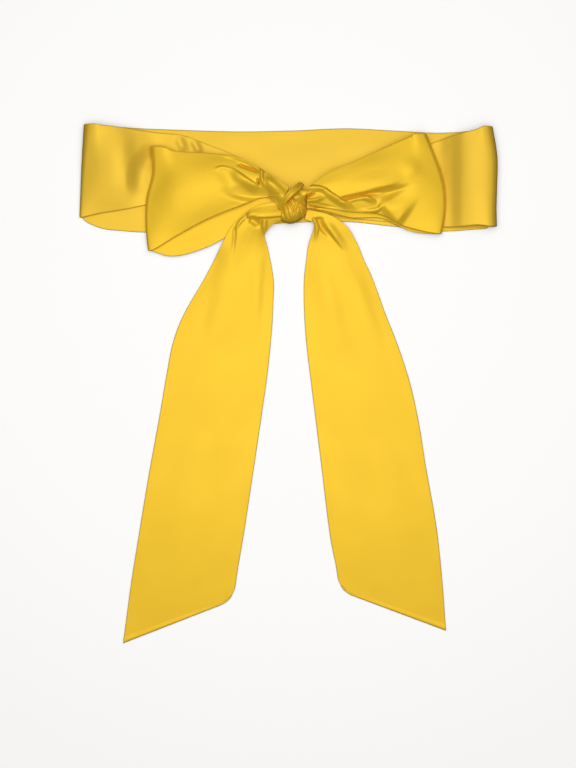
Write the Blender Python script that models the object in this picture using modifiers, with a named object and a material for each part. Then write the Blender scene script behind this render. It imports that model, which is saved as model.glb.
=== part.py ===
"""Satin sash, lying flat and tied in a bow with two long tails.

Frame: +X to the wearer's left, +Y towards the waist band, +Z up from the surface it lies on.
The origin is on the surface, under the middle of the sash. One long doubled strip of satin runs
tail - knot - bow loop - knot - waist band - knot - bow loop - knot - tail; each stretch that shows
is one object, and the stretches hidden inside the knot are one rounded solid.
"""
import math
from collections import namedtuple

import bmesh
import bpy

MM = 0.001

# Driving dimensions, in millimetres
CLOTH = 1.2             # the doubled strip: two layers of satin
SEAM_GAP = 0.3          # left between neighbouring pieces
LYING = CLOTH / 2       # height of the cloth's middle where it lies on the surface

HEM_CORNER = 14.0       # radius of each tail's inner hem corner

KNOT_CENTRE = (8.0, 173.0, 14.0)
KNOT_RADII = (20.0, 13.0, 12.4)     # along the strap, across it, upwards
KNOT_LEAN = math.radians(35.0)      # the strap leans to +X by this much
STRAP_ACROSS = (-10.4, -4.4)        # the strap's edges, from the knot's long middle line
STRAP_HALF_TURN = math.radians(60.0)

LEFT = -1
RIGHT = 1

# A section runs across the strip, from its top edge to its low edge. crown is how far its middle
# stands above the straight line between the edges; bow is how much of the turn's outline it takes.
Section = namedtuple("Section", "top_x top_y top_z low_x low_y low_z crown bow")
# A turn is where a strip doubles back on itself: the outermost points of its top and low ends in
# plan, its radius at each, the height of its under layer, and its outline between the two ends.
Turn = namedtuple("Turn", "top_x top_y low_x low_y top_radius low_radius under outline side")
# A fold is a soft ridge (height above 0) or trough (below 0) along a curve through three points.
Fold = namedtuple("Fold", "x1 y1 x2 y2 x3 y3 width height")

BACK_BAND = [
    #        top edge              low edge             crown bow
    Section(-187.5, 250.6, LYING, -197.3, 158.6, LYING, 0, 0),
    Section(-178.0, 249.4, LYING, -186.0, 152.2, LYING, 0, 0),
    Section(-154.0, 247.6, LYING, -156.0, 147.6, LYING, 0, 0),
    Section(-100.0, 244.9, LYING, -100.0, 148.0, LYING, 0, 0),
    Section(-46.0, 243.6, LYING, -46.0, 152.0, LYING, 0, 0),
    Section(8.0, 244.6, LYING, 8.0, 155.6, LYING, 0, 0),
    Section(58.0, 246.6, LYING, 60.0, 156.2, LYING, 0, 0),
    Section(100.0, 244.8, LYING, 100.0, 152.4, LYING, 0, 0),
    Section(154.0, 242.8, LYING, 154.0, 147.4, LYING, 0, 0),
    Section(176.0, 244.6, LYING, 178.0, 149.0, LYING, 0, 0),
    Section(187.8, 246.6, LYING, 193.0, 150.4, LYING, 0, 0),
]

FRONT_LEFT = [
    Section(-176.0, 248.4, 13.6, -182.0, 164.4, 3.8, 3.0, 0),
    Section(-160.0, 246.6, 11.0, -160.0, 168.0, 3.6, 6.0, 0),
    Section(-145.0, 244.6, 7.4, -143.0, 171.4, 3.0, 1.6, 0),
    Section(-128.0, 242.4, 4.0, -126.0, 175.0, 2.3, -0.6, 0),
    Section(-100.0, 239.4, 3.0, -98.0, 178.0, 2.3, 0, 0),
    Section(-76.0, 230.4, 3.0, -75.0, 176.0, 2.3, 0, 0),
    Section(-50.0, 219.8, 3.0, -50.0, 171.0, 2.4, 0, 0),
    Section(-25.0, 203.0, 3.4, -25.0, 166.0, 2.8, 0, 0),
    Section(-4.0, 182.0, 4.2, -4.0, 165.0, 4.2, 0, 0),
]

FRONT_RIGHT = [
    Section(180.0, 244.2, 14.8, 182.0, 152.6, 13.0, 0.6, 0),
    Section(168.0, 241.4, 12.2, 168.0, 151.6, 9.8, 0.6, 0),
    Section(156.0, 238.2, 7.4, 157.0, 151.2, 6.0, 0, 0),
    Section(145.0, 234.4, 3.6, 144.0, 151.4, 3.4, 0, 0),
    Section(130.0, 229.2, 2.8, 130.0, 152.4, 2.6, 0, 0),
    Section(100.0, 219.0, 2.8, 100.0, 156.0, 2.4, 0, 0),
    Section(60.0, 205.0, 3.0, 60.0, 160.0, 2.4, 0, 0),
    Section(38.0, 194.0, 3.4, 38.0, 164.0, 2.8, 0, 0),
    Section(20.0, 181.0, 4.2, 20.0, 165.0, 4.2, 0, 0),
]

BOW_LEFT_OVER = [
    Section(-5.0, 187.0, 18.0, -9.0, 167.5, 17.4, 1.2, 0),
    Section(-24.0, 204.6, 15.0, -20.0, 179.0, 15.6, 3.4, 0),
    Section(-50.0, 217.4, 13.2, -50.0, 169.6, 11.0, 8.5, 0),
    Section(-80.0, 221.6, 13.2, -81.0, 156.8, 8.4, 12.5, 0.1),
    Section(-108.0, 223.4, 13.0, -108.0, 142.0, 7.4, 11.0, 0.5),
]

BOW_LEFT_UNDER = [
    Section(-110.0, 224.0, 4.4, -115.0, 123.2, 3.9, 0, 0.5),
    Section(-80.0, 222.0, 4.8, -80.0, 131.0, 3.9, 0, 0.1),
    Section(-50.0, 212.0, 5.6, -54.0, 145.0, 4.3, 0, 0),
    Section(-25.0, 194.0, 7.4, -25.0, 164.0, 7.0, 0, 0),
    Section(-6.0, 186.0, 8.8, -7.0, 168.0, 8.6, 0, 0),
]

BOW_RIGHT_OVER = [
    Section(22.0, 184.0, 19.2, 22.0, 167.0, 18.0, 1.2, 0),
    Section(35.0, 200.4, 16.8, 33.0, 168.8, 15.4, 3.6, 0),
    Section(62.0, 212.2, 15.4, 60.0, 165.2, 12.4, 7.0, 0),
    Section(90.0, 225.2, 14.6, 88.0, 163.0, 10.2, 10.0, 0.1),
    Section(115.0, 236.2, 14.6, 113.0, 151.0, 9.6, 8.0, 0.5),
]

BOW_RIGHT_UNDER = [
    Section(117.0, 236.4, 5.6, 121.0, 146.4, 5.2, 0, 0.5),
    Section(90.0, 226.0, 6.2, 90.0, 159.4, 6.0, 0, 0.1),
    Section(60.0, 211.0, 8.6, 60.0, 160.0, 8.8, 0, 0),
    Section(36.0, 196.0, 12.4, 36.0, 166.0, 12.6, 0, 0),
    Section(22.0, 183.0, 14.0, 22.0, 169.0, 13.8, 0, 0),
]

# A tail's top edge is its outer one, and its low edge is its inner, seamed one.
TAIL_LEFT = [
    Section(-9.0, 175.5, 13.2, -5.0, 158.6, 13.0, 0, 0),
    Section(-30.0, 170.6, 11.4, -13.0, 154.2, 8.8, 0.8, 0),
    Section(-45.0, 160.4, 9.4, -20.0, 147.8, 6.2, 1.4, 0),
    Section(-55.4, 150.0, 8.0, -22.6, 143.0, 4.6, 1.6, 0),
    Section(-63.0, 136.0, 6.2, -20.4, 134.6, 2.6, 1.4, 0),
    Section(-72.4, 117.4, 2.2, -16.4, 117.0, 1.0, 0.6, 0),
    Section(-83.0, 98.0, LYING, -13.6, 98.0, LYING, 0, 0),
    Section(-94.6, 78.6, LYING, -14.2, 78.0, LYING, 0, 0),
    Section(-104.4, 59.4, LYING, -15.0, 59.0, LYING, 0, 0),
    Section(-111.2, 40.0, LYING, -16.6, 40.0, LYING, 0, 0),
    Section(-117.0, 11.0, LYING, -19.6, 11.0, LYING, 0, 0),
    Section(-123.6, -27.6, LYING, -25.0, -27.6, LYING, 0, 0),
    Section(-134.2, -85.6, LYING, -33.6, -85.6, LYING, 0, 0),
    Section(-143.8, -143.6, LYING, -42.4, -143.6, LYING, 0, 0),
    Section(-152.0, -195.0, LYING, -49.0, -183.0, LYING, 0, 0),
    Section(-159.4, -250.6, LYING, -52.4, -208.6, LYING, 0, 0),
]

TAIL_RIGHT = [
    Section(23.0, 168.0, 8.6, 20.0, 158.8, 8.4, 0, 0),
    Section(44.0, 161.0, 7.6, 25.0, 153.6, 7.0, 0, 0),
    Section(57.4, 151.0, 5.8, 23.2, 145.0, 4.8, 0.6, 0),
    Section(65.6, 137.8, 3.4, 20.0, 135.6, 2.8, 0.8, 0),
    Section(74.4, 117.6, 1.2, 17.2, 117.0, 1.0, 0.4, 0),
    Section(79.4, 107.6, LYING, 15.8, 106.0, LYING, 0, 0),
    Section(86.8, 88.4, LYING, 15.2, 88.0, LYING, 0, 0),
    Section(93.8, 69.0, LYING, 15.6, 69.0, LYING, 0, 0),
    Section(105.2, 40.0, LYING, 17.6, 40.0, LYING, 0, 0),
    Section(117.8, 1.4, LYING, 22.2, 1.4, LYING, 0, 0),
    Section(126.4, -37.2, LYING, 27.0, -37.2, LYING, 0, 0),
    Section(132.6, -75.8, LYING, 31.8, -75.8, LYING, 0, 0),
    Section(145.4, -153.0, LYING, 41.6, -153.0, LYING, 0, 0),
    Section(149.6, -196.0, LYING, 46.6, -178.0, LYING, 0, 0),
    Section(152.6, -238.4, LYING, 49.4, -199.6, LYING, 0, 0),
]

# How far each turn's outline stands out from the straight line between its ends,
# by the share of the way from its top end to its low end.
OUTLINE_BAND_LEFT = [(0.0, 0.0), (0.5, 0.4), (1.0, 0.0)]
OUTLINE_BAND_RIGHT = [(0.0, 0.0), (0.3, 3.3), (0.6, 1.8), (0.85, 0.2), (1.0, 0.0)]
OUTLINE_BOW_LEFT = [(0.0, 0.0), (0.25, -2.0), (0.5, 3.0), (0.7, 3.4), (0.9, 1.6), (1.0, 0.0)]
OUTLINE_BOW_RIGHT = [(0.0, 0.0), (0.22, 5.2), (0.5, 9.4), (0.7, 8.2), (0.9, 3.4), (1.0, 0.0)]

TURNS = {
    "front_left": Turn(-195.8, 249.6, -200.6, 160.6, 7.0, 1.6, LYING, OUTLINE_BAND_LEFT, LEFT),
    "front_right": Turn(196.2, 247.4, 200.4, 151.4, 7.5, 6.6, LYING, OUTLINE_BAND_RIGHT, RIGHT),
    "bow_loop_left": Turn(-131.4, 228.0, -134.0, 128.2, 4.6, 1.5, 4.2, OUTLINE_BOW_LEFT, LEFT),
    "bow_loop_right": Turn(132.4, 240.0, 147.0, 144.2, 4.6, 2.0, 6.0, OUTLINE_BOW_RIGHT, RIGHT),
}

FOLDS = {
    "front_left": [
        #    from           by way of      to              width  height
        Fold(-118.0, 234.0, -146.0, 224.0, -146.0, 184.0, 11.0, -2.2),
    ],
    "bow_loop_left": [
        Fold(-86.0, 206.0, -50.0, 202.0, -34.0, 192.0, 9.0, 2.6),
        Fold(-40.0, 213.0, -48.0, 212.0, -58.0, 214.0, 6.0, -2.4),
        Fold(-52.0, 192.0, -44.0, 188.0, -34.0, 186.0, 8.0, -2.6),
    ],
    "bow_loop_right": [
        Fold(44.0, 178.0, 72.0, 184.0, 112.0, 184.0, 9.0, -6.5),
        Fold(34.0, 184.0, 48.0, 180.0, 82.0, 170.0, 6.0, 2.4),
        Fold(88.0, 190.0, 120.0, 208.0, 144.0, 180.0, 9.0, 2.4),
        Fold(94.0, 172.0, 102.0, 166.0, 108.0, 158.0, 7.0, -2.4),
    ],
}


def clear_scene():
    for item in list(bpy.data.objects):
        bpy.data.objects.remove(item, do_unlink=True)


def satin(name, colour, roughness=0.38):
    """Dyed satin: smooth and softly shining, never metallic."""
    material = bpy.data.materials.new(name)
    material.use_nodes = True
    shader = material.node_tree.nodes["Principled BSDF"]
    shader.inputs["Base Color"].default_value = (*colour, 1.0)
    shader.inputs["Roughness"].default_value = roughness
    shader.inputs["Metallic"].default_value = 0.0
    return material


def spline(knots, values, at):
    """Smooth curve through the values at the rising knots, read at one place."""
    last = len(knots) - 1
    index = 0
    while index < last - 1 and at > knots[index + 1]:
        index += 1

    def slope(k):
        before = max(k - 1, 0)
        after = min(k + 1, last)
        return (values[after] - values[before]) / (knots[after] - knots[before])

    span = knots[index + 1] - knots[index]
    t = (at - knots[index]) / span
    stay = (1 + 2 * t) * (1 - t) ** 2
    go = t * t * (3 - 2 * t)
    leave = span * t * (1 - t) ** 2
    arrive = -span * t * t * (1 - t)
    return (stay * values[index] + go * values[index + 1]
            + leave * slope(index) + arrive * slope(index + 1))


def section_points(section, turn, across):
    """Points across the strip at one section, from its top edge to its low edge."""
    points = []
    for step in range(across + 1):
        v = step / across
        x = section.top_x + (section.low_x - section.top_x) * v
        y = section.top_y + (section.low_y - section.top_y) * v
        z = section.top_z + (section.low_z - section.top_z) * v
        if section.bow:
            shares, reaches = zip(*turn.outline)
            x += turn.side * section.bow * spline(shares, reaches, v)
        z += section.crown * math.sin(math.pi * v)
        points.append((x, y, z))
    return points


def turn_over(turn, steps=7):
    """Sections round a turn, from its under layer to its upper one."""
    rows = []
    for step in range(steps + 1):
        angle = math.pi * step / steps - math.pi / 2
        inset = turn.side * (1 - math.cos(angle))
        rise = 1 + math.sin(angle)
        rows.append(Section(turn.top_x - turn.top_radius * inset, turn.top_y,
                            turn.under + turn.top_radius * rise,
                            turn.low_x - turn.low_radius * inset, turn.low_y,
                            turn.under + turn.low_radius * rise, 0, 1))
    return rows


def strip_grid(rows, along, across, turn=None):
    """Grid of points over the strip: smooth along it, evenly spaced, and never below the surface."""
    lines = [section_points(row, turn, across) for row in rows]
    knots = [0.0]
    for before, after in zip(lines, lines[1:]):
        knots.append(knots[-1] + sum(math.dist(a, b) for a, b in zip(before, after)) / len(after))
    grid = []
    for step in range(along + 1):
        at = knots[-1] * step / along
        grid.append([[spline(knots, [line[j][axis] for line in lines], at) for axis in range(3)]
                     for j in range(across + 1)])
    for line in grid:
        for point in line:
            point[2] = max(point[2], LYING)
    return grid


def fold_height(fold, x, y):
    """Height that one fold adds at a point in plan: full on its curve, none past its width."""
    nearest = 1.0e9
    place = 0.0
    steps = 12
    for step in range(steps + 1):
        t = step / steps
        cx = (1 - t) ** 2 * fold.x1 + 2 * t * (1 - t) * fold.x2 + t * t * fold.x3
        cy = (1 - t) ** 2 * fold.y1 + 2 * t * (1 - t) * fold.y2 + t * t * fold.y3
        away = math.hypot(x - cx, y - cy)
        if away < nearest:
            nearest = away
            place = t
    if nearest >= fold.width:
        return 0.0
    rise = math.cos(math.pi / 2 * nearest / fold.width) ** 2
    return fold.height * rise * math.sin(math.pi * (0.15 + 0.7 * place))


def add_folds(grid, folds, first, last):
    """Raises or sinks the points of the rows from first to last, away from the strip's edges."""
    for line in grid[first:last]:
        for place, point in enumerate(line):
            edge = math.sin(math.pi * place / (len(line) - 1)) ** 0.5
            point[2] += edge * sum(fold_height(fold, point[0], point[1]) for fold in folds)


def knot_side(y, z, side):
    """X of the knot's side at a height and a place along Y, with room for the cloth's edge."""
    room = SEAM_GAP + CLOTH / 2
    long_radius, cross_radius, up_radius = (radius + room for radius in KNOT_RADII)
    lean_s, lean_c = math.sin(KNOT_LEAN), math.cos(KNOT_LEAN)
    dy = y - KNOT_CENTRE[1]
    dz = z - KNOT_CENTRE[2]
    a = (lean_s / long_radius) ** 2 + (lean_c / cross_radius) ** 2
    b = 2 * dy * lean_s * lean_c * (1 / long_radius ** 2 - 1 / cross_radius ** 2)
    c = (dy * lean_c / long_radius) ** 2 + (dy * lean_s / cross_radius) ** 2
    c += (dz / up_radius) ** 2 - 1
    root = math.sqrt(max(b * b - 4 * a * c, 0.0))
    return KNOT_CENTRE[0] + (-b + side * root) / (2 * a)


def meet_knot(line, side):
    """Ends a strip along the knot's side."""
    for point in line:
        point[0] = knot_side(point[1], point[2], side)


def round_hem_corner(grid, radius):
    """Rounds the corner where the hem (the last row) meets the inner, low edge."""
    corner = grid[-1][-1]
    hem_end = grid[-1][0]
    edge_end = grid[-4][-1]
    hem_length = math.dist(corner, hem_end)
    edge_length = math.dist(corner, edge_end)
    along_hem = [(hem_end[k] - corner[k]) / hem_length for k in range(2)]
    along_edge = [(edge_end[k] - corner[k]) / edge_length for k in range(2)]
    cross = along_hem[0] * along_edge[1] - along_hem[1] * along_edge[0]
    for line in grid:
        for point in line:
            dx = point[0] - corner[0]
            dy = point[1] - corner[1]
            from_edge = (dx * along_edge[1] - dy * along_edge[0]) / cross
            from_hem = (along_hem[0] * dy - along_hem[1] * dx) / cross
            if from_edge >= radius or from_hem >= radius:
                continue
            a = 1 - from_edge / radius
            b = 1 - from_hem / radius
            move_a = radius * (a - a * math.sqrt(1 - b * b / 2))
            move_b = radius * (b - b * math.sqrt(1 - a * a / 2))
            for k in range(2):
                point[k] += along_hem[k] * move_a + along_edge[k] * move_b


def cloth_object(name, grid, material, collection):
    """A flat grid moved to the strip's points, given the cloth's thickness by Solidify."""
    along = len(grid) - 1
    across = len(grid[0]) - 1
    mesh = bpy.data.meshes.new(name)
    shape = bmesh.new()
    bmesh.ops.create_grid(shape, x_segments=along, y_segments=across, size=0.5)
    for vertex in shape.verts:
        row = round((vertex.co.x + 0.5) * along)
        place = round((vertex.co.y + 0.5) * across)
        vertex.co = [value * MM for value in grid[row][place]]
    shape.to_mesh(mesh)
    shape.free()
    mesh.materials.append(material)
    cloth = bpy.data.objects.new(name, mesh)
    collection.objects.link(cloth)
    wall = cloth.modifiers.new("cloth thickness", "SOLIDIFY")
    wall.thickness = CLOTH * MM
    wall.offset = 0.0
    mesh.shade_smooth()
    return cloth


def on_knot(cross, angle):
    """Point over the knot, at a place across it and an angle over its top, where the strap lies."""
    room = 1.5 * SEAM_GAP + CLOTH / 2
    long_radius, cross_radius, up_radius = (radius + room for radius in KNOT_RADII)
    left_over = math.sqrt(1 - (cross / cross_radius) ** 2)
    along = long_radius * left_over * math.sin(angle)
    lean_s, lean_c = math.sin(KNOT_LEAN), math.cos(KNOT_LEAN)
    return [KNOT_CENTRE[0] + along * lean_s + cross * lean_c,
            KNOT_CENTRE[1] + along * lean_c - cross * lean_s,
            KNOT_CENTRE[2] + up_radius * left_over * math.cos(angle)]


def make_knot(material, collection):
    """The gathered layers inside the knot, as one rounded solid."""
    mesh = bpy.data.meshes.new("knot")
    shape = bmesh.new()
    bmesh.ops.create_uvsphere(shape, u_segments=24, v_segments=12, radius=1.0)
    lean_s, lean_c = math.sin(KNOT_LEAN), math.cos(KNOT_LEAN)
    for vertex in shape.verts:
        along = vertex.co.x * KNOT_RADII[0]
        cross = vertex.co.y * KNOT_RADII[1]
        place = (along * lean_s - cross * lean_c, along * lean_c + cross * lean_s,
                 vertex.co.z * KNOT_RADII[2])
        vertex.co = [(centre + offset) * MM for centre, offset in zip(KNOT_CENTRE, place)]
    shape.to_mesh(mesh)
    shape.free()
    mesh.materials.append(material)
    mesh.shade_smooth()
    collection.objects.link(bpy.data.objects.new("knot", mesh))


def make_strap(material, collection, along=14, across=4):
    """The narrow strap that is drawn over the knot."""
    grid = []
    for row in range(along + 1):
        angle = STRAP_HALF_TURN * (2 * row / along - 1)
        first, last = STRAP_ACROSS
        grid.append([on_knot(first + (last - first) * place / across, angle)
                     for place in range(across + 1)])
    cloth_object("knot_strap", grid, material, collection)


def make_band(materials, collection):
    """The waist band: one lying layer, and two front layers that turn over at its ends."""
    cloth_object("back_band", strip_grid(BACK_BAND, 26, 6), materials["band"], collection)

    for name, rows in (("front_left", FRONT_LEFT), ("front_right", FRONT_RIGHT)):
        turn = TURNS[name]
        grid = strip_grid(turn_over(turn) + rows, 30, 8, turn)
        add_folds(grid, FOLDS.get(name, []), 5, 28)
        meet_knot(grid[-1], turn.side)
        cloth_object(name, grid, materials["band"], collection)


def make_bow(materials, collection):
    """The two bow loops, each one strip: out over the top, round its turn and back below."""
    for name, under, over in (("bow_loop_left", BOW_LEFT_UNDER, BOW_LEFT_OVER),
                              ("bow_loop_right", BOW_RIGHT_UNDER, BOW_RIGHT_OVER)):
        turn = TURNS[name]
        grid = strip_grid(under[::-1] + turn_over(turn) + over[::-1], 36, 10, turn)
        add_folds(grid, FOLDS[name], 20, 36)
        meet_knot(grid[0], turn.side)
        meet_knot(grid[-1], turn.side)
        cloth_object(name, grid, materials["bow"], collection)


def make_tails(materials, collection):
    """The two tails, from the knot to their slanted hems."""
    for name, rows, side in (("tail_left", TAIL_LEFT, LEFT), ("tail_right", TAIL_RIGHT, RIGHT)):
        grid = strip_grid(rows, 34, 8)
        meet_knot(grid[0], side)
        round_hem_corner(grid, HEM_CORNER)
        cloth_object(name, grid, materials["tail"], collection)


def main():
    clear_scene()
    collection = bpy.data.collections.new("satin_sash")
    bpy.context.scene.collection.children.link(collection)
    materials = {
        "band": satin("satin band", (0.86, 0.53, 0.055)),
        "bow": satin("satin bow", (0.92, 0.60, 0.06)),
        "tail": satin("satin tail", (0.95, 0.62, 0.05)),
        "knot": satin("satin knot", (0.84, 0.51, 0.05)),
    }
    make_band(materials, collection)
    make_knot(materials["knot"], collection)
    make_strap(materials["knot"], collection)
    make_bow(materials, collection)
    make_tails(materials, collection)


main()
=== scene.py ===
"""Looks of a yellow satin sash, lying flat and tied in a bow with two long tails.

All tables are in millimetres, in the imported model's frame: +X and +Y in the surface the sash lies
on, +Z up. Every stretch of cloth is a thin closed shell over its solid's form, with its creases.
"""

import math
from collections import namedtuple

import bpy
import numpy as np
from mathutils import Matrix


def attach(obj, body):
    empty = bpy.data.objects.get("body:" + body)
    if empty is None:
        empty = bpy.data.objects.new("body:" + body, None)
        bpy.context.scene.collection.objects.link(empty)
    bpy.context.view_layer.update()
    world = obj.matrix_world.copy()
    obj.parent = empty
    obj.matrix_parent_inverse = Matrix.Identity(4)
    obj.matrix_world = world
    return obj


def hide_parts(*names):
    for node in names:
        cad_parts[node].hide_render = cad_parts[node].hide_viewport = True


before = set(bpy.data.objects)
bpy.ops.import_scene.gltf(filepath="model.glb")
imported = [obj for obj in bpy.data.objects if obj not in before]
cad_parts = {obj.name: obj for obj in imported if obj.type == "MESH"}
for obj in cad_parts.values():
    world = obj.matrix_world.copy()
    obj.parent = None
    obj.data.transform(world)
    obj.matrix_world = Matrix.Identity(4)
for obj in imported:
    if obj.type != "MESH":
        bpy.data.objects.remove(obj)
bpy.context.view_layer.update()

MM = 0.001
STRIP_WIDTH = 100.0
CLOTH = 1.3                 # the doubled strip: two layers of satin
LYING = 0.7                 # height of its middle where it lies on the surface
HEM_WIDTH = 4.0
HEM_RISE = 0.7
HEM_CORNER = 14.0           # radius of the corner between a tail's hem and its inner edge
LEFT = -1
RIGHT = 1

# Spacing of a mesh's rows along the strip and columns across it. The rows and columns next to an
# edge or end are closer together, at these distances in from it, so that it can be rounded.
BAND_SPACING = (1.5, 1.3)
BOW_SPACING = (0.8, 0.8)
TAIL_SPACING = (1.2, 1.2)
ROUNDED_STEPS = [0.0, 0.12, 0.34, 0.62, 1.0]
EVEN_FROM_EDGE = 1.5
EVEN_FROM_END = 1.6

# Which shares of a strip's rows have folds: the band's left end, the bow's over layers, and all of
# a tail. The folds of an over layer grow out of its smooth turn over EASED_ROWS of those rows.
BAND_FOLDED = (0.0, 0.26)
BOW_FOLDED = (0.55, 1.0)
TAIL_FOLDED = (0.0, 1.0)
EASED_ROWS = 0.2

GOLD = (0.9, 0.555, 0.03)
# The band's satin is the same cloth painted darker and greyer: painted shade, standing in for the
# duller sheen its crosswise threads give under the light.
GOLD_WITH_PAINTED_BAND_SHADE = (0.84, 0.525, 0.043)
# The sky's brightness, by the sine of the height above the horizon. It is dark below the first.
SKY = [(0.02, 0.0), (0.4, 0.02), (0.65, 0.12), (0.8, 0.5), (0.9, 1.0), (0.98, 1.0)]
SKY_STRENGTH = 1.12

# A section runs across the strip from its top edge to its low edge. crown is how far its middle
# stands above the straight line between them, and bow how much of the turn's outline it takes.
Section = namedtuple("Section", "top_x top_y top_z low_x low_y low_z crown bow")
# A turn is where a strip doubles back: the outermost points of its ends in plan, its radius at
# each, the height of its under layer, and its outline between the ends.
Turn = namedtuple("Turn", "top_x top_y low_x low_y top_radius low_radius under outline side")
# A fold is a ridge (height above 0) or a trough (below 0) along a curve through three points. Its
# flank to the left of the way it runs, and its flank to the right, may be soft or steep. It starts
# and ends at full height where fade is 0, and takes that share of its length to rise where it isn't.
Fold = namedtuple("Fold", "x1 y1 x2 y2 x3 y3 left right height fade_in fade_out")

BACK_BAND = [
    #        top edge              low edge          crown bow
    Section(-187.5, 250.6, LYING, -197.3, 158.6, LYING, 0, 0),
    Section(-178.0, 249.6, LYING, -186.0, 152.2, LYING, 0, 0),
    Section(-154.0, 247.6, LYING, -156.0, 147.4, LYING, 0, 0),
    Section(-100.0, 245.2, LYING, -100.0, 148.0, LYING, 0, 0),
    Section(-46.0, 243.8, LYING, -46.0, 152.0, LYING, 0, 0),
    Section(8.0, 244.8, LYING, 8.0, 155.8, LYING, 0, 0),
    Section(58.0, 246.8, LYING, 60.0, 156.4, LYING, 0, 0),
    Section(100.0, 244.8, LYING, 100.0, 152.2, LYING, 0, 0),
    Section(154.0, 242.8, LYING, 154.0, 147.4, LYING, 0, 0),
    Section(176.0, 244.6, LYING, 178.0, 149.0, LYING, 0, 0),
    Section(187.8, 246.8, LYING, 193.0, 150.6, LYING, 0, 0),
]

FRONT_LEFT = [
    Section(-176.0, 248.4, 13.6, -182.0, 164.4, 3.8, 3.0, 0),
    Section(-160.0, 246.6, 11.0, -160.0, 168.0, 3.6, 4.6, 0),
    Section(-145.0, 244.6, 7.4, -143.0, 171.4, 3.0, 1.6, 0),
    Section(-128.0, 242.4, 4.0, -126.0, 175.0, 2.3, -0.6, 0),
    Section(-100.0, 239.4, 3.0, -98.0, 178.0, 2.3, 0, 0),
    Section(-76.0, 230.4, 3.0, -75.0, 176.0, 2.3, 0, 0),
    Section(-50.0, 219.8, 3.0, -50.0, 171.0, 2.4, 0, 0),
    Section(-25.0, 203.0, 3.4, -25.0, 166.0, 2.8, 0, 0),
    Section(-2.0, 184.0, 4.2, -2.0, 165.0, 4.2, 0, 0),
]

FRONT_RIGHT = [
    Section(180.0, 244.2, 14.8, 182.0, 152.6, 13.0, 0.6, 0),
    Section(168.0, 241.4, 12.2, 168.0, 151.6, 9.8, 0.6, 0),
    Section(156.0, 238.2, 7.4, 157.0, 151.2, 6.0, 0, 0),
    Section(145.0, 234.4, 3.6, 144.0, 151.4, 3.4, 0, 0),
    Section(130.0, 229.2, 2.8, 130.0, 152.4, 2.6, 0, 0),
    Section(100.0, 219.0, 2.8, 100.0, 156.0, 2.4, 0, 0),
    Section(60.0, 205.0, 3.0, 60.0, 160.0, 2.4, 0, 0),
    Section(38.0, 194.0, 3.4, 38.0, 164.0, 2.8, 0, 0),
    Section(18.0, 181.0, 4.2, 18.0, 165.0, 4.2, 0, 0),
]

BOW_LEFT_OVER = [
    Section(1.0, 188.4, 19.0, -6.4, 167.2, 17.6, 2.0, 0),
    Section(-24.0, 204.6, 15.0, -20.0, 179.0, 15.6, 2.4, 0),
    Section(-50.0, 217.4, 13.2, -50.0, 169.6, 12.0, 4.0, 0),
    Section(-80.0, 221.6, 13.2, -81.0, 156.8, 10.4, 5.6, 0.1),
    Section(-108.0, 223.4, 13.0, -108.0, 142.0, 8.4, 4.6, 0.5),
]

BOW_LEFT_UNDER = [
    Section(-110.0, 224.0, 4.4, -115.0, 123.2, 3.9, 0, 0.5),
    Section(-80.0, 222.0, 4.8, -80.0, 131.0, 3.9, 0, 0.1),
    Section(-50.0, 212.0, 5.6, -54.0, 145.0, 4.3, 0, 0),
    Section(-25.0, 194.0, 7.4, -25.0, 164.0, 7.0, 0, 0),
    Section(-4.0, 186.0, 8.8, -5.0, 168.0, 8.6, 0, 0),
]

BOW_RIGHT_OVER = [
    Section(18.0, 186.0, 19.6, 18.0, 168.0, 18.4, 1.2, 0),
    Section(35.0, 200.4, 16.8, 33.0, 168.8, 15.4, 2.4, 0),
    Section(62.0, 212.2, 15.4, 60.0, 165.2, 13.0, 3.6, 0),
    Section(90.0, 225.2, 14.6, 88.0, 163.0, 11.2, 5.0, 0.1),
    Section(115.0, 236.2, 14.6, 113.0, 151.0, 10.0, 4.0, 0.5),
]

BOW_RIGHT_UNDER = [
    Section(117.0, 236.4, 5.6, 121.0, 146.4, 5.2, 0, 0.5),
    Section(90.0, 226.0, 6.2, 90.0, 159.4, 6.0, 0, 0.1),
    Section(60.0, 211.0, 8.6, 60.0, 160.0, 8.8, 0, 0),
    Section(36.0, 196.0, 12.4, 36.0, 166.0, 12.6, 0, 0),
    Section(18.0, 183.0, 14.0, 18.0, 169.0, 13.8, 0, 0),
]

# A tail's top edge is its outer one, and its low edge is its inner, seamed one.
TAIL_LEFT = [
    Section(-6.0, 175.5, 13.4, -3.0, 158.6, 13.0, 0, 0),
    Section(-30.0, 170.6, 11.4, -13.0, 154.2, 8.8, 0.8, 0),
    Section(-45.0, 160.4, 9.4, -20.0, 147.8, 6.2, 1.4, 0),
    Section(-55.4, 150.0, 8.0, -22.6, 143.0, 4.6, 1.6, 0),
    Section(-63.0, 136.0, 6.2, -20.4, 134.6, 2.6, 1.4, 0),
    Section(-72.4, 117.4, 2.2, -16.4, 117.0, 1.0, 1.6, 0),
    Section(-83.0, 98.0, LYING, -13.6, 98.0, LYING, 1.6, 0),
    Section(-94.6, 78.6, LYING, -14.2, 78.0, LYING, 1.2, 0),
    Section(-104.4, 59.4, LYING, -15.0, 59.0, LYING, 1.0, 0),
    Section(-111.2, 40.0, LYING, -16.6, 40.0, LYING, 0.8, 0),
    Section(-117.0, 11.0, LYING, -19.6, 11.0, LYING, 0.6, 0),
    Section(-123.6, -27.6, LYING, -25.0, -27.6, LYING, 0.4, 0),
    Section(-134.2, -85.6, LYING, -33.6, -85.6, LYING, 0.4, 0),
    Section(-143.8, -143.6, LYING, -42.4, -143.6, LYING, 0.4, 0),
    Section(-152.0, -195.0, LYING, -49.0, -183.0, LYING, 0.3, 0),
    Section(-159.4, -250.6, LYING, -52.4, -208.6, LYING, 0, 0),
]

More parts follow.
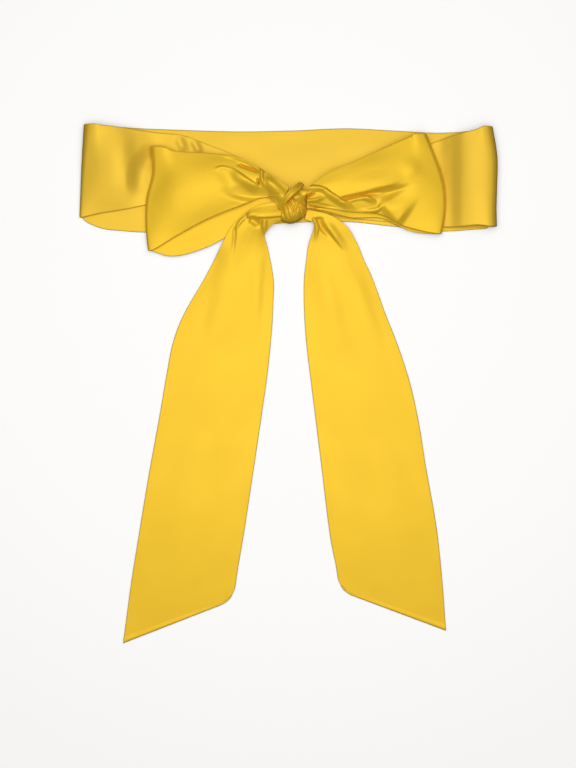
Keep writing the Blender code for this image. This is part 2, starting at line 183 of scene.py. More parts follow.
TAIL_RIGHT = [
    Section(18.0, 168.0, 8.6, 16.0, 158.8, 8.4, 0, 0),
    Section(44.0, 161.0, 7.6, 25.0, 153.6, 7.0, 0, 0),
    Section(57.4, 151.0, 5.8, 23.2, 145.0, 4.8, 0.6, 0),
    Section(65.6, 137.8, 3.4, 20.0, 135.6, 2.8, 0.8, 0),
    Section(74.4, 117.6, 1.2, 17.2, 117.0, 1.0, 1.4, 0),
    Section(79.4, 107.6, LYING, 15.8, 106.0, LYING, 1.6, 0),
    Section(86.8, 88.4, LYING, 15.2, 88.0, LYING, 1.4, 0),
    Section(93.8, 69.0, LYING, 15.6, 69.0, LYING, 1.0, 0),
    Section(105.2, 40.0, LYING, 17.6, 40.0, LYING, 0.8, 0),
    Section(117.8, 1.4, LYING, 22.2, 1.4, LYING, 0.6, 0),
    Section(126.4, -37.2, LYING, 27.0, -37.2, LYING, 0.4, 0),
    Section(132.6, -75.8, LYING, 31.8, -75.8, LYING, 0.4, 0),
    Section(145.4, -153.0, LYING, 41.6, -153.0, LYING, 0.4, 0),
    Section(149.6, -196.0, LYING, 46.6, -178.0, LYING, 0.3, 0),
    Section(152.6, -238.4, LYING, 49.4, -199.6, LYING, 0, 0),
]

# How far each turn's outline stands out from the straight line between its ends,
# by the share of the way from its top end to its low end.
OUTLINE_BAND_LEFT = [(0.0, 0.0), (0.5, 0.4), (1.0, 0.0)]
OUTLINE_BAND_RIGHT = [(0.0, 0.0), (0.3, 3.3), (0.6, 1.8), (0.85, 0.2), (1.0, 0.0)]
OUTLINE_BOW_LEFT = [(0.0, 0.0), (0.25, -2.0), (0.5, 3.0), (0.7, 3.4), (0.9, 1.6), (1.0, 0.0)]
OUTLINE_BOW_RIGHT = [(0.0, 0.0), (0.22, 5.2), (0.5, 9.4), (0.7, 8.2), (0.9, 3.4), (1.0, 0.0)]

TURNS = {
    "band_left": Turn(-195.8, 249.6, -200.6, 160.6, 7.0, 1.6, LYING, OUTLINE_BAND_LEFT, LEFT),
    "band_right": Turn(196.2, 247.4, 200.4, 151.4, 7.5, 6.6, LYING, OUTLINE_BAND_RIGHT, RIGHT),
    "bow_left": Turn(-131.4, 228.0, -134.0, 128.2, 4.6, 1.5, 4.2, OUTLINE_BOW_LEFT, LEFT),
    "bow_right": Turn(132.4, 240.0, 147.0, 144.2, 4.6, 2.0, 6.0, OUTLINE_BOW_RIGHT, RIGHT),
}

FOLDS_BAND = [
    # the long hollow beside the left loop
    Fold(-114.0, 229.0, -140.0, 208.0, -138.0, 174.0, 12.0, 15.0, -2.0, 0.3, 0.3),
    # the two small hollows at its top
    Fold(-109.0, 240.0, -103.0, 232.0, -100.0, 222.0, 7.0, 7.0, -1.5, 0.4, 0.4),
    Fold(-94.0, 238.0, -88.0, 229.0, -84.0, 220.0, 6.0, 6.0, -1.5, 0.4, 0.4),
]
FOLDS_BOW_LEFT = [
    # the valley that runs into the neck, and the bright fold over it
    Fold(-66.0, 190.0, -46.0, 182.0, -20.0, 180.6, 16.0, 8.0, -3.4, 0.6, 0),
    Fold(-58.0, 209.0, -43.0, 198.0, -26.0, 187.0, 2.6, 9.0, 1.8, 0.4, 0.2),
    # the pocket and the roll above it
    Fold(-50.0, 210.5, -39.0, 206.6, -28.0, 202.4, 3.0, 2.2, -3.6, 0.3, 0.2),
    Fold(-66.0, 219.4, -42.0, 214.6, -25.0, 203.0, 3.0, 3.2, 1.8, 0.4, 0),
    # the upright crease and the small hole beside it
    Fold(-25.0, 207.0, -25.4, 198.0, -22.0, 188.0, 2.6, 1.6, 2.4, 0.2, 0.4),
    Fold(-28.6, 198.0, -28.6, 193.6, -27.6, 189.0, 1.7, 1.7, -2.8, 0.3, 0.3),
    # the rounded back of the neck
    Fold(-23.0, 198.0, -14.0, 188.0, -4.0, 178.0, 7.0, 7.0, 2.2, 0.3, 0),
    # the faint arc on the panel, hollow below it
    Fold(-71.0, 204.4, -62.0, 207.8, -52.0, 203.6, 1.6, 4.0, 0.9, 0.3, 0.4),
    Fold(-72.0, 200.0, -58.0, 198.0, -48.0, 190.0, 12.0, 12.0, -1.0, 0.5, 0.4),
]
FOLDS_BOW_RIGHT = [
    # the roll along the neck, round and down to the low edge
    Fold(13.0, 185.4, 26.0, 188.6, 39.0, 184.6, 1.6, 5.5, 2.8, 0, 0.2),
    Fold(35.0, 186.8, 47.0, 178.6, 68.0, 166.8, 1.7, 7.0, 2.8, 0.2, 0.4),
    Fold(16.0, 175.2, 26.0, 176.2, 38.0, 181.0, 2.4, 3.4, 1.6, 0, 0.5),
    Fold(16.0, 176.4, 20.6, 180.2, 27.0, 182.8, 2.6, 2.2, -5.0, 0.2, 0.4),
    # the long trough, crisp at the neck and opening into a hollow
    Fold(48.5, 176.8, 68.0, 180.9, 92.0, 184.6, 2.4, 4.0, -4.4, 0.2, 0.4),
    Fold(72.0, 181.6, 98.0, 184.0, 126.0, 190.0, 7.0, 19.0, -4.2, 0.5, 0.6),
    Fold(56.0, 184.4, 86.0, 188.0, 114.0, 199.0, 18.0, 3.6, 1.5, 0.5, 0.5),
    Fold(108.0, 198.0, 126.0, 204.0, 145.0, 188.0, 16.0, 9.0, 1.3, 0.4, 0.6),
    # the small lobe under it, hollow in its middle
    Fold(54.0, 173.8, 71.0, 180.0, 87.0, 171.4, 1.8, 5.0, 2.0, 0.3, 0.3),
    Fold(88.0, 174.0, 85.0, 167.0, 66.0, 166.2, 3.0, 4.0, 1.6, 0.3, 0.3),
    # the step up from the lobe to the wide end
    Fold(90.0, 182.0, 98.0, 167.0, 112.0, 154.0, 34.0, 9.0, 2.6, 0.3, 0.2),
    # the gathered layers along the low side of the neck
    Fold(19.0, 171.2, 38.0, 167.4, 57.0, 162.4, 1.3, 1.3, -2.4, 0.1, 0.3),
    Fold(18.0, 174.2, 34.0, 171.6, 50.0, 168.4, 1.6, 1.6, -0.9, 0.1, 0.6),
]
FOLDS_TAIL_LEFT = [
    # the fold over the neck, and the shaded hollow under it
    Fold(-42.0, 161.4, -25.0, 160.0, -6.0, 161.6, 12.0, 1.0, 2.6, 0.2, 0),
    Fold(-38.0, 158.4, -32.0, 156.0, -27.0, 150.0, 6.0, 5.0, -2.4, 0.2, 0.4),
    Fold(-22.0, 159.0, -23.0, 152.0, -22.0, 141.0, 4.0, 3.4, 1.8, 0.1, 0.5),
    Fold(-40.0, 161.0, -47.0, 155.0, -51.0, 146.0, 3.0, 2.0, 1.2, 0.2, 0.5),
    # long soft waves
    Fold(-50.0, 140.0, -62.0, 90.0, -74.0, 20.0, 16.0, 16.0, 0.9, 0.3, 0.5),
    Fold(-28.0, 130.0, -30.0, 90.0, -34.0, 30.0, 8.0, 12.0, 0.8, 0.3, 0.5),
    Fold(-52.0, 152.0, -52.0, 138.0, -56.0, 112.0, 3.0, 3.0, -1.0, 0.2, 0.6),
]
FOLDS_TAIL_RIGHT = [
    # the deep crease out of the knot, and the pleat beside it
    Fold(29.0, 161.0, 33.0, 150.0, 45.0, 138.0, 6.0, 3.6, -3.0, 0.1, 0.6),
    Fold(33.0, 157.0, 45.0, 142.0, 57.0, 126.0, 8.0, 2.4, 1.8, 0.3, 0.5),
    Fold(25.0, 158.0, 27.6, 150.0, 25.0, 136.0, 3.0, 2.6, 1.4, 0, 0.5),
    # long soft waves
    Fold(30.0, 120.0, 40.0, 80.0, 52.0, 10.0, 14.0, 14.0, 0.8, 0.3, 0.5),
    Fold(60.0, 110.0, 74.0, 70.0, 92.0, 10.0, 12.0, 14.0, 0.8, 0.3, 0.5),
]

# The knot's body: its outline in plan, and the gathers in it, fanning out from under the strap.
KNOT_OUTLINE = [
    (-7.4, 158.4), (-3.0, 155.0), (3.0, 154.0), (8.5, 155.6), (13.0, 158.6), (16.4, 163.0),
    (18.4, 168.0), (19.0, 174.0), (18.4, 181.0), (15.0, 186.4), (10.0, 187.6), (4.0, 184.4),
    (-2.0, 179.0), (-6.6, 172.0), (-8.4, 164.6),
]
KNOT_TOP = 22.0
KNOT_RIM = 9.0          # height at which the body is widest
KNOT_BOTTOM = 2.2
KNOT_LEAN = -58.0       # direction in which its threads run, in degrees from +X
FOLDS_KNOT = [
    Fold(-1.4, 175.0, 3.0, 169.4, 5.2, 161.0, 1.3, 1.0, -2.2, 0, 0.3),
    Fold(-0.6, 175.6, 5.0, 169.8, 8.0, 160.0, 1.1, 1.0, -1.7, 0, 0.3),
    Fold(1.6, 178.6, 7.4, 172.4, 8.8, 164.0, 1.3, 1.1, -2.0, 0, 0.4),
    Fold(5.0, 175.6, 10.6, 170.4, 13.4, 160.4, 1.6, 1.2, -2.0, 0.1, 0.3),
    Fold(9.0, 173.0, 13.6, 169.0, 19.0, 161.0, 1.5, 1.3, -2.0, 0.1, 0.1),
    Fold(11.0, 174.6, 16.0, 171.6, 22.0, 168.6, 1.3, 1.3, -1.8, 0.2, 0),
    Fold(-5.4, 171.0, -4.6, 164.0, -2.0, 156.0, 1.6, 2.0, -1.2, 0.1, 0.3),
    Fold(-2.6, 172.0, -0.4, 165.0, 1.6, 156.0, 1.6, 1.4, -1.2, 0.1, 0.3),
    Fold(4.0, 180.4, 10.0, 184.8, 20.0, 185.4, 1.4, 1.6, -2.4, 0, 0),
    # the lump over them
    Fold(4.0, 177.0, 10.0, 179.6, 18.0, 179.6, 4.6, 6.0, 2.6, 0.2, 0.2),
]
# The strap round the knot: its middle line, width and thickness, and the grooves along its top.
Strand = namedtuple("Strand", "x y z width thickness")
KNOT_STRAP = [
    Strand(13.6, 192.4, 11.0, 5.4, 2.6),
    Strand(11.6, 190.0, 17.6, 6.4, 3.6),
    Strand(7.6, 186.2, 22.4, 6.8, 4.2),
    Strand(3.0, 181.8, 24.2, 6.6, 4.4),
    Strand(-1.6, 177.0, 23.0, 6.2, 4.2),
    Strand(-5.2, 172.0, 19.4, 6.0, 4.0),
    Strand(-7.4, 167.0, 14.0, 5.4, 3.6),
    Strand(-8.0, 163.6, 8.4, 4.6, 3.0),
]
# A groove's place and width are shares of half the strap's width, its depth a share of its height.
Groove = namedtuple("Groove", "place width depth")
STRAP_GROOVES = [Groove(0.45, 0.14, 0.5), Groove(-0.3, 0.12, 0.25)]
# The small pointed fold to the right of the strap.
KNOT_POINT = [
    Strand(11.0, 180.8, 19.0, 8.6, 3.0),
    Strand(15.0, 182.2, 20.2, 6.8, 3.2),
    Strand(19.0, 184.0, 19.6, 4.0, 2.6),
    Strand(22.6, 185.8, 17.8, 1.8, 1.8),
    Strand(24.6, 186.6, 16.2, 0.8, 1.0),
]


# ---------------------------------------------------------------- smooth shapes

def smooth(knots, values, places):
    """Smooth curve through the values at the rising knots, read at the places."""
    knots = np.asarray(knots, float)
    values = np.asarray(values, float)
    column = (-1,) + (1,) * (values.ndim - 1)
    spans = np.diff(knots)
    secants = np.diff(values, axis=0) / spans.reshape(column)
    slopes = np.empty_like(values)
    slopes[0] = secants[0]
    slopes[-1] = secants[-1]
    before = spans[:-1].reshape(column)
    after = spans[1:].reshape(column)
    slopes[1:-1] = (after * secants[:-1] + before * secants[1:]) / (before + after)
    index = np.clip(np.searchsorted(knots, places, side="right") - 1, 0, len(knots) - 2)
    span = spans[index].reshape(column)
    t = ((places - knots[index]) / spans[index]).reshape(column)
    return (values[index] * (1 + 2 * t) * (1 - t) ** 2 + values[index + 1] * t * t * (3 - 2 * t)
            + span * slopes[index] * t * (1 - t) ** 2 - span * slopes[index + 1] * t * t * (1 - t))


def ramp(value, start, end):
    """0 before start, 1 after end, smooth between."""
    t = np.clip((value - start) / (end - start), 0, 1)
    return t * t * (3 - 2 * t)


def turn_over(turn, steps=9):
    """Sections round a turn, from its under layer to its upper one."""
    rows = []
    for step in range(steps + 1):
        angle = math.pi * step / steps - math.pi / 2
        inset = turn.side * (1 - math.cos(angle))
        rise = 1 + math.sin(angle)
        rows.append(Section(turn.top_x - turn.top_radius * inset, turn.top_y,
                            turn.under + turn.top_radius * rise,
                            turn.low_x - turn.low_radius * inset, turn.low_y,
                            turn.under + turn.low_radius * rise, 0, 1))
    return rows


def places_across(spacing):
    """Shares of the way across the strip: closer together at the two rounded edges."""
    edge = np.array([*ROUNDED_STEPS, EVEN_FROM_EDGE]) / STRIP_WIDTH
    count = round(STRIP_WIDTH * (1 - 2 * edge[-1]) / spacing)
    return np.concatenate([edge[:-1], np.linspace(edge[-1], 1 - edge[-1], count), 1 - edge[-2::-1]])


def section_line(section, turn, across):
    """Points of one section, at the shares of the way across."""
    top = np.array(section[0:3])
    low = np.array(section[3:6])
    line = top + (low - top) * across[:, None]
    if section.bow:
        shares, reaches = zip(*turn.outline)
        line[:, 0] += turn.side * section.bow * smooth(shares, reaches, across)
    line[:, 2] += section.crown * np.sin(math.pi * across)
    return line


def strip_grid(parts, spacing):
    """Points over a strip, from (rows, turn) parts in order, and how far along it each row is."""
    along, sideways = spacing
    across = places_across(sideways)
    lines = np.array([section_line(row, turn, across) for rows, turn in parts for row in rows])
    steps = np.linalg.norm(np.diff(lines, axis=0), axis=2).mean(axis=1)
    knots = np.concatenate([[0.0], np.cumsum(steps)])
    count = round(knots[-1] / along)
    end = np.array(ROUNDED_STEPS)
    even = np.linspace(EVEN_FROM_END, knots[-1] - EVEN_FROM_END, count)
    places = np.concatenate([end, even, knots[-1] - end[::-1]])
    grid = smooth(knots, lines, places)
    return grid, places, across


# ---------------------------------------------------------------- folds

def fold_heights(fold, x, y, steps=27):
    """Height that one fold adds at points in plan."""
    reach = max(fold.left, fold.right)
    xs = (fold.x1, fold.x2, fold.x3)
    ys = (fold.y1, fold.y2, fold.y3)
    near = (x > min(xs) - reach) & (x < max(xs) + reach)
    near &= (y > min(ys) - reach) & (y < max(ys) + reach)
    heights = np.zeros(x.shape)
    if not near.any():
        return heights
    points = np.stack([x[near], y[near]], axis=-1)
    t = np.linspace(0, 1, steps + 1)[:, None]
    # the middle point lies on the curve, half way along it
    through = np.array([[fold.x1, fold.y1], [fold.x2, fold.y2], [fold.x3, fold.y3]])
    control = 2 * through[1] - 0.5 * (through[0] + through[2])
    curve = (1 - t) ** 2 * through[0] + 2 * t * (1 - t) * control + t * t * through[2]
    best = np.full(len(points), np.inf)
    place = np.zeros(len(points))
    side = np.ones(len(points))
    for k in range(steps):
        run = curve[k + 1] - curve[k]
        offset = points - curve[k]
        s = np.clip(offset @ run / (run @ run), 0, 1)
        away = offset - s[:, None] * run
        distance = np.hypot(away[:, 0], away[:, 1])
        closer = distance < best
        best = np.where(closer, distance, best)
        place = np.where(closer, (k + s) / steps, place)
        side = np.where(closer, np.sign(run[0] * offset[:, 1] - run[1] * offset[:, 0]), side)
    flank = np.where(side >= 0, fold.left, fold.right)
    rise = np.cos(math.pi / 2 * np.clip(best / flank, 0, 1)) ** 2
    if fold.fade_in:
        rise = rise * ramp(place, 0, fold.fade_in)
    if fold.fade_out:
        rise = rise * ramp(1 - place, 0, fold.fade_out)
    heights[near] = fold.height * rise
    return heights


def add_folds(grid, folds, folded):
    """Raises or sinks the rows between two shares of the strip's rows."""
    first, last = folded
    rows = slice(round(first * len(grid)), round(last * len(grid)))
    x = grid[rows, :, 0].copy()
    y = grid[rows, :, 1].copy()
    ease = ramp(np.arange(len(x)), 0, EASED_ROWS * len(x))[:, None] if first > 0 else 1.0
    for fold in folds:
        grid[rows, :, 2] += fold_heights(fold, x, y) * ease


# ---------------------------------------------------------------- shells

def normals_of(grid):
    """Unit normal at each point of a grid."""
    along = np.gradient(grid, axis=0)
    across = np.gradient(grid, axis=1)
    normal = np.cross(along, across)
    return normal / np.maximum(np.linalg.norm(normal, axis=2, keepdims=True), 1e-9)


def edge_rounding(distance, half):
    """Half thickness of a rounded edge, at a distance in from it."""
    reach = 1.6 * half
    inside = np.clip(distance / reach, 0, 1)
    return half * np.sqrt(1 - (1 - inside) ** 2)


def cloth_shell(name, grid, places, across):
    """A closed thin shell round the grid, with rounded edges and ends."""
    rows, columns = grid.shape[:2]
    half = CLOTH / 2
    from_edge = np.minimum(across, 1 - across)[None, :] * STRIP_WIDTH
    from_end = np.minimum(places, places[-1] - places)[:, None]
    thick = np.minimum(edge_rounding(from_edge, half), edge_rounding(from_end, half))
    offset = normals_of(grid) * thick[:, :, None]
    upper = (grid + offset).reshape(-1, 3)
    lower = (grid - offset)[1:-1, 1:-1].reshape(-1, 3)
    # the two layers share their outermost points
    top = np.arange(rows * columns).reshape(rows, columns)
    under = top.copy()
    under[1:-1, 1:-1] = rows * columns + np.arange(len(lower)).reshape(rows - 2, columns - 2)
    quads = [np.stack([top[:-1, :-1], top[1:, :-1], top[1:, 1:], top[:-1, 1:]], axis=-1),
             np.stack([under[:-1, :-1], under[:-1, 1:], under[1:, 1:], under[1:, :-1]], axis=-1)]
    faces = np.concatenate([layer.reshape(-1, 4) for layer in quads])
    run = np.repeat(places[:, None], columns, axis=1) * MM
    breadth = np.repeat(across[None, :], rows, axis=0) * STRIP_WIDTH * MM
    uv = np.stack([run, breadth], axis=-1)
    uv = np.concatenate([uv.reshape(-1, 2), uv[1:-1, 1:-1].reshape(-1, 2)])
    return mesh_object(name, np.concatenate([upper, lower]), faces, uv)


def mesh_object(name, points, faces, uv):
    """A smooth mesh from points in millimetres, with the cloth's own coordinates in metres."""
    mesh = bpy.data.meshes.new(name)
    mesh.from_pydata((points * MM).tolist(), [], [list(face) for face in faces])
    layer = mesh.uv_layers.new(name="cloth")
    corners = np.concatenate([np.asarray(face) for face in faces])
    layer.data.foreach_set("uv", uv[corners].ravel().astype(np.float32))
    mesh.shade_smooth()
    mesh.update()
    piece = bpy.data.objects.new(name, mesh)
    bpy.context.scene.collection.objects.link(piece)
    return piece


def round_trip(points, count):
    """Evenly spaced points round a smooth closed curve through the given ones."""
    loop = np.array(points + points[:1])
    knots = np.concatenate([[0.0], np.cumsum(np.linalg.norm(np.diff(loop, axis=0), axis=1))])
    length = knots[-1]
    knots = np.concatenate([knots[-4:-1] - length, knots, knots[1:4] + length])
    loop = np.concatenate([loop[-4:-1], loop, loop[1:4]])
    return smooth(knots, loop, np.linspace(0, length, count, endpoint=False))


def closed_faces(rows, columns, first):
    """Faces of rings of points, closed round and at both ends."""
    index = first + np.arange(rows * columns).reshape(rows, columns)
    beside = np.roll(index, -1, axis=1)
    quads = np.stack([index[:-1], index[1:], beside[1:], beside[:-1]], axis=-1).reshape(-1, 4)
    return [*quads.tolist(), index[0].tolist(), index[-1, ::-1].tolist()]


def knot_body(columns=300, rows=120):
    """The knot's rounded body with its gathers, as rings from its top to its bottom."""
    rim = round_trip(KNOT_OUTLINE, columns)
    middle = rim.mean(axis=0)
    pole = 0.012        # angle of the smallest rings, at the top and the bottom
    fullness = 0.8      # below 1, the body is fuller than an ellipsoid
    turn = np.linspace(pole, math.pi - pole, rows)[:, None, None]
    reach = np.sin(turn) ** fullness
    plan = middle + (rim - middle)[None] * reach
    rise = np.where(turn < math.pi / 2, KNOT_TOP - KNOT_RIM, KNOT_RIM - KNOT_BOTTOM)
    height = (KNOT_RIM + rise * np.cos(turn))[:, :, 0] * np.ones(columns)
    # the gathers are full on the top and fade out down the sides
    fade = 2.2
    upper = np.clip(fade * np.cos(turn[:, :, 0]), 0, 1)
    for fold in FOLDS_KNOT:
        height += fold_heights(fold, plan[:, :, 0], plan[:, :, 1]) * upper
    return np.concatenate([plan, height[:, :, None]], axis=2)


def strand_rings(strand, grooves=(), columns=40, spacing=0.5):
    """Rings along a flattened strand with rounded ends, and grooves along its top."""
    line = np.array(strand)
    knots = np.concatenate([[0.0], np.cumsum(np.linalg.norm(np.diff(line[:, :3], axis=0), axis=1))])
    places = np.linspace(0, knots[-1], round(knots[-1] / spacing))
    line = smooth(knots, line, places)
    run = np.gradient(line[:, :3], axis=0)
    run /= np.linalg.norm(run, axis=1, keepdims=True)
    side = np.cross(run, (0, 0, 1.0))
    side /= np.linalg.norm(side, axis=1, keepdims=True)
    up = np.cross(side, run)
    end_length = 2.0
    smallest = 0.04
    from_end = np.minimum(places, places[-1] - places)[:, None]
    rounding = np.sqrt(1 - (1 - np.clip(from_end / end_length + smallest, 0, 1)) ** 2)
    angle = np.linspace(0, 2 * math.pi, columns, endpoint=False)
    sideways = np.cos(angle) * rounding * line[:, 3:4] / 2
    upward = np.sin(angle) * rounding * line[:, 4:5] / 2
    for groove in grooves:
        hollow = np.exp(-((np.cos(angle) - groove.place) / groove.width) ** 2)
        upward = upward * (1 - groove.depth * hollow * (np.sin(angle) > 0))
    return (line[:, None, :3] + side[:, None] * sideways[:, :, None]
            + up[:, None] * upward[:, :, None])


# ---------------------------------------------------------------- the sash

def round_hem_corner(grid, radius):
    """Rounds the corner where the hem (the last row) meets the inner, low edge."""
    rows_in = 15        # far enough up the edge to give its direction
    corner = grid[-1, -1, :2].copy()
    hem = grid[-1, 0, :2] - corner
    edge = grid[-1 - rows_in, -1, :2] - corner
    hem = hem / np.linalg.norm(hem)
    edge = edge / np.linalg.norm(edge)
    cross = hem[0] * edge[1] - hem[1] * edge[0]
    offset = grid[:, :, :2] - corner
    from_edge = (offset[:, :, 0] * edge[1] - offset[:, :, 1] * edge[0]) / cross
    from_hem = (hem[0] * offset[:, :, 1] - hem[1] * offset[:, :, 0]) / cross
    a = np.clip(1 - from_edge / radius, 0, 1)
    b = np.clip(1 - from_hem / radius, 0, 1)
    move_a = radius * (a - a * np.sqrt(1 - b * b / 2))
    move_b = radius * (b - b * np.sqrt(1 - a * a / 2))
    grid[:, :, :2] += hem * move_a[:, :, None] + edge * move_b[:, :, None]


def make_band(material):
    """The waist band, as one piece from its left front layer round to its right one."""
    left = turn_over(TURNS["band_left"])
    right = turn_over(TURNS["band_right"])
    parts = [(FRONT_LEFT[::-1] + left[::-1], TURNS["band_left"]), (BACK_BAND, None),
             (right + FRONT_RIGHT, TURNS["band_right"])]
    grid, places, across = strip_grid(parts, BAND_SPACING)
    add_folds(grid, FOLDS_BAND, BAND_FOLDED)
    grid[:, :, 2] = np.maximum(grid[:, :, 2], LYING)
    band = cloth_shell("waist_band_cloth", grid, places, across)
    dress(band, material, "back_band", "front_left", "front_right")


def make_bow(material):
    """The two bow loops, each from its under layer round its turn to its over layer."""
    for name, turn, under, over, folds in (
            ("bow_left", TURNS["bow_left"], BOW_LEFT_UNDER, BOW_LEFT_OVER, FOLDS_BOW_LEFT),
            ("bow_right", TURNS["bow_right"], BOW_RIGHT_UNDER, BOW_RIGHT_OVER, FOLDS_BOW_RIGHT)):
        parts = [(under[::-1] + turn_over(turn) + over[::-1], turn)]
        grid, places, across = strip_grid(parts, BOW_SPACING)
        add_folds(grid, folds, BOW_FOLDED)
        loop = cloth_shell(name + "_cloth", grid, places, across)
        dress(loop, material, name.replace("bow", "bow_loop"))


def make_tails(material):
    """The two tails, each with a rolled hem and a rounded inner corner."""
    for name, rows, folds in (("tail_left", TAIL_LEFT, FOLDS_TAIL_LEFT),
                              ("tail_right", TAIL_RIGHT, FOLDS_TAIL_RIGHT)):
        grid, places, across = strip_grid([(rows, None)], TAIL_SPACING)
        round_hem_corner(grid, HEM_CORNER)
        add_folds(grid, folds, TAIL_FOLDED)
        from_hem = places[-1] - places
        grid[:, :, 2] += HEM_RISE * np.sin(math.pi * np.clip(from_hem / HEM_WIDTH, 0, 1))[:, None]
        grid[:, :, 2] = np.maximum(grid[:, :, 2], LYING)
        tail = cloth_shell(name + "_cloth", grid, places, across)
        dress(tail, material, name)


def make_knot(material):
    """The knot: its gathered body, the strap round it and the pointed fold, as one piece."""
    lean = math.radians(KNOT_LEAN)
    points = np.empty((0, 3))
    faces = []
    for rings in (knot_body(), strand_rings(KNOT_STRAP, STRAP_GROOVES), strand_rings(KNOT_POINT)):
        rows, columns = rings.shape[:2]
        faces += closed_faces(rows, columns, len(points))
        points = np.concatenate([points, rings.reshape(-1, 3)])
    run = points[:, 0] * math.cos(lean) + points[:, 1] * math.sin(lean)
    breadth = points[:, 1] * math.cos(lean) - points[:, 0] * math.sin(lean)
    knot = mesh_object("knot_cloth", points, faces, np.stack([run, breadth], axis=-1) * MM)
    dress(knot, material, "knot", "knot_strap")


def dress(piece, material, *nodes):
    """Gives a piece its material, hangs it under the root, and hides the nodes it stands for."""
    piece.data.materials.append(material)
    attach(piece, "root")
    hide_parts(*nodes)


# ---------------------------------------------------------------- satin

def make_satin(name, colour):
    """Satin with soft sheen, stretched highlights, fine threads and slight unevenness."""
    material = bpy.data.materials.new(name)
    material.use_nodes = True
    nodes = material.node_tree.nodes
    links = material.node_tree.links
    shader = nodes["Principled BSDF"]
    shader.inputs["Metallic"].default_value = 0.25
    shader.inputs["Specular IOR Level"].default_value = 0.3
    shader.inputs["Specular Tint"].default_value = (1.0, 0.8, 0.3, 1)
    shader.inputs["Anisotropic"].default_value = 0.4
    shader.inputs["Anisotropic Rotation"].default_value = 0.25
    shader.inputs["Sheen Weight"].default_value = 0.12
    shader.inputs["Sheen Roughness"].default_value = 0.4
    shader.inputs["Sheen Tint"].default_value = (1.0, 0.85, 0.4, 1)
    tangent = nodes.new("ShaderNodeTangent")
    tangent.direction_type = "UV_MAP"
    tangent.uv_map = "cloth"
    links.new(tangent.outputs["Tangent"], shader.inputs["Tangent"])

    place = nodes.new("ShaderNodeUVMap")
    place.uv_map = "cloth"
    # fine threads, long in the strip's own direction
    threads = noise(nodes, links, place, (900.0, 5200.0, 1.0), 1.0)
    # soft unevenness of cloth that was pressed and tied
    drape = noise(nodes, links, place, (16.0, 26.0, 1.0), 1.5)

    red, green, blue = colour
    tint = nodes.new("ShaderNodeMixRGB")
    tint.inputs["Color1"].default_value = (0.965 * red, 0.965 * green, 0.965 * blue, 1)
    tint.inputs["Color2"].default_value = (red, 1.035 * green, 1.1 * blue, 1)
    half_drape = nodes.new("ShaderNodeMath")
    half_drape.operation = "MULTIPLY"
    half_drape.inputs[1].default_value = 0.5
    links.new(drape.outputs["Fac"], half_drape.inputs[0])
    both = nodes.new("ShaderNodeMath")
    both.operation = "MULTIPLY_ADD"
    both.inputs[1].default_value = 0.5
    links.new(threads.outputs["Fac"], both.inputs[0])
    links.new(half_drape.outputs["Value"], both.inputs[2])
    links.new(both.outputs["Value"], tint.inputs["Fac"])
    links.new(tint.outputs["Color"], shader.inputs["Base Color"])

    spread = nodes.new("ShaderNodeMapRange")
    spread.inputs["To Min"].default_value = 0.36
    spread.inputs["To Max"].default_value = 0.48
    links.new(drape.outputs["Fac"], spread.inputs["Value"])
    links.new(spread.outputs["Result"], shader.inputs["Roughness"])

    weave = bump(nodes, links, threads, 0.12, 0.00006)
    soft = bump(nodes, links, drape, 0.35, 0.003)
    links.new(weave.outputs["Normal"], soft.inputs["Normal"])
    links.new(soft.outputs["Normal"], shader.inputs["Normal"])
    return material


def noise(nodes, links, place, scale, detail):
    """Noise over the cloth's own coordinates, scaled apart along and across the strip."""
    stretch = nodes.new("ShaderNodeMapping")
    stretch.inputs["Scale"].default_value = scale
    links.new(place.outputs["UV"], stretch.inputs["Vector"])
    texture = nodes.new("ShaderNodeTexNoise")
    texture.inputs["Scale"].default_value = 1.0
    texture.inputs["Detail"].default_value = detail
    links.new(stretch.outputs["Vector"], texture.inputs["Vector"])
    return texture


def bump(nodes, links, texture, strength, distance):
    """Bump of a texture; distance is in metres."""
    relief = nodes.new("ShaderNodeBump")
    relief.inputs["Strength"].default_value = strength
    relief.inputs["Distance"].default_value = distance
    links.new(texture.outputs["Fac"], relief.inputs["Height"])
    return relief


# ---------------------------------------------------------------- studio

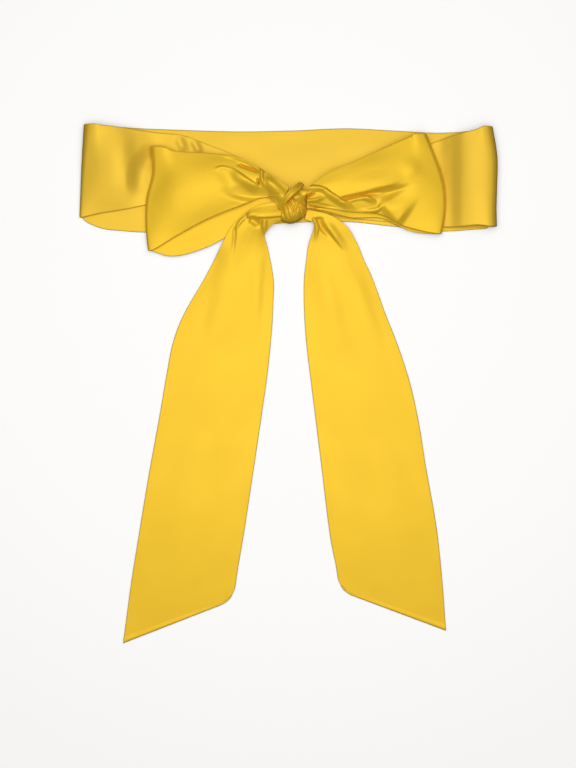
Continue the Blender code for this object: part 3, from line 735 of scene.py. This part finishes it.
def make_studio():
    """The pale floor, the light, and the camera straight above."""
    scene = bpy.context.scene
    scene.view_settings.view_transform = "Standard"

    camera_data = bpy.data.cameras.new("camera")
    camera_data.lens = 85.0
    camera_data.sensor_width = 36.0
    camera = bpy.data.objects.new("camera", camera_data)
    camera.location = (0.0, 0.0, 1.752)
    scene.collection.objects.link(camera)
    scene.camera = camera

    bpy.ops.mesh.primitive_plane_add(size=6.0, location=(0, 0, -0.0002))
    floor = bpy.context.object
    floor.name = "floor"
    paint = bpy.data.materials.new("pale floor")
    paint.use_nodes = True
    shader = paint.node_tree.nodes["Principled BSDF"]
    shader.inputs["Base Color"].default_value = (0.96, 0.96, 0.96, 1)
    shader.inputs["Roughness"].default_value = 0.9
    # a little light of its own keeps it near white
    shader.inputs["Emission Color"].default_value = (1, 1, 1, 1)
    shader.inputs["Emission Strength"].default_value = 0.24
    floor.data.materials.append(paint)
    # it doesn't light the cloth from below, so the rolled folds stay dark
    floor.visible_diffuse = False
    floor.visible_glossy = False

    scene.world = make_sky()
    add_softbox("overhead", (0.0, 0.12, 1.15), 0.8, 5.0)


def make_sky():
    """A soft dome of light: bright overhead, dark towards the horizon and below it."""
    world = bpy.data.worlds.new("studio")
    world.use_nodes = True
    nodes = world.node_tree.nodes
    links = world.node_tree.links
    place = nodes.new("ShaderNodeTexCoord")
    split = nodes.new("ShaderNodeSeparateXYZ")
    fade = nodes.new("ShaderNodeValToRGB")
    links.new(place.outputs["Generated"], split.inputs["Vector"])
    links.new(split.outputs["Z"], fade.inputs["Fac"])
    links.new(fade.outputs["Color"], nodes["Background"].inputs["Color"])
    for position, level in SKY:
        stop = fade.color_ramp.elements.new(position)
        stop.color = (level, level * 0.985, level * 0.96, 1)
    fade.color_ramp.elements.remove(fade.color_ramp.elements[0])
    fade.color_ramp.elements.remove(fade.color_ramp.elements[-1])
    nodes["Background"].inputs["Strength"].default_value = SKY_STRENGTH
    return world


def add_softbox(name, place, size, power):
    """A square light that shines straight down and that the camera sees through."""
    light = bpy.data.lights.new(name, "AREA")
    light.size = size
    light.energy = power
    softbox = bpy.data.objects.new(name, light)
    softbox.location = place
    softbox.visible_camera = False
    bpy.context.scene.collection.objects.link(softbox)


def main():
    make_studio()
    material = make_satin("golden satin", GOLD)
    # the band gets the satin with painted shade, darker and greyer than the rest
    make_band(make_satin("golden satin with painted band shade", GOLD_WITH_PAINTED_BAND_SHADE))
    make_bow(material)
    make_tails(material)
    make_knot(material)


main()
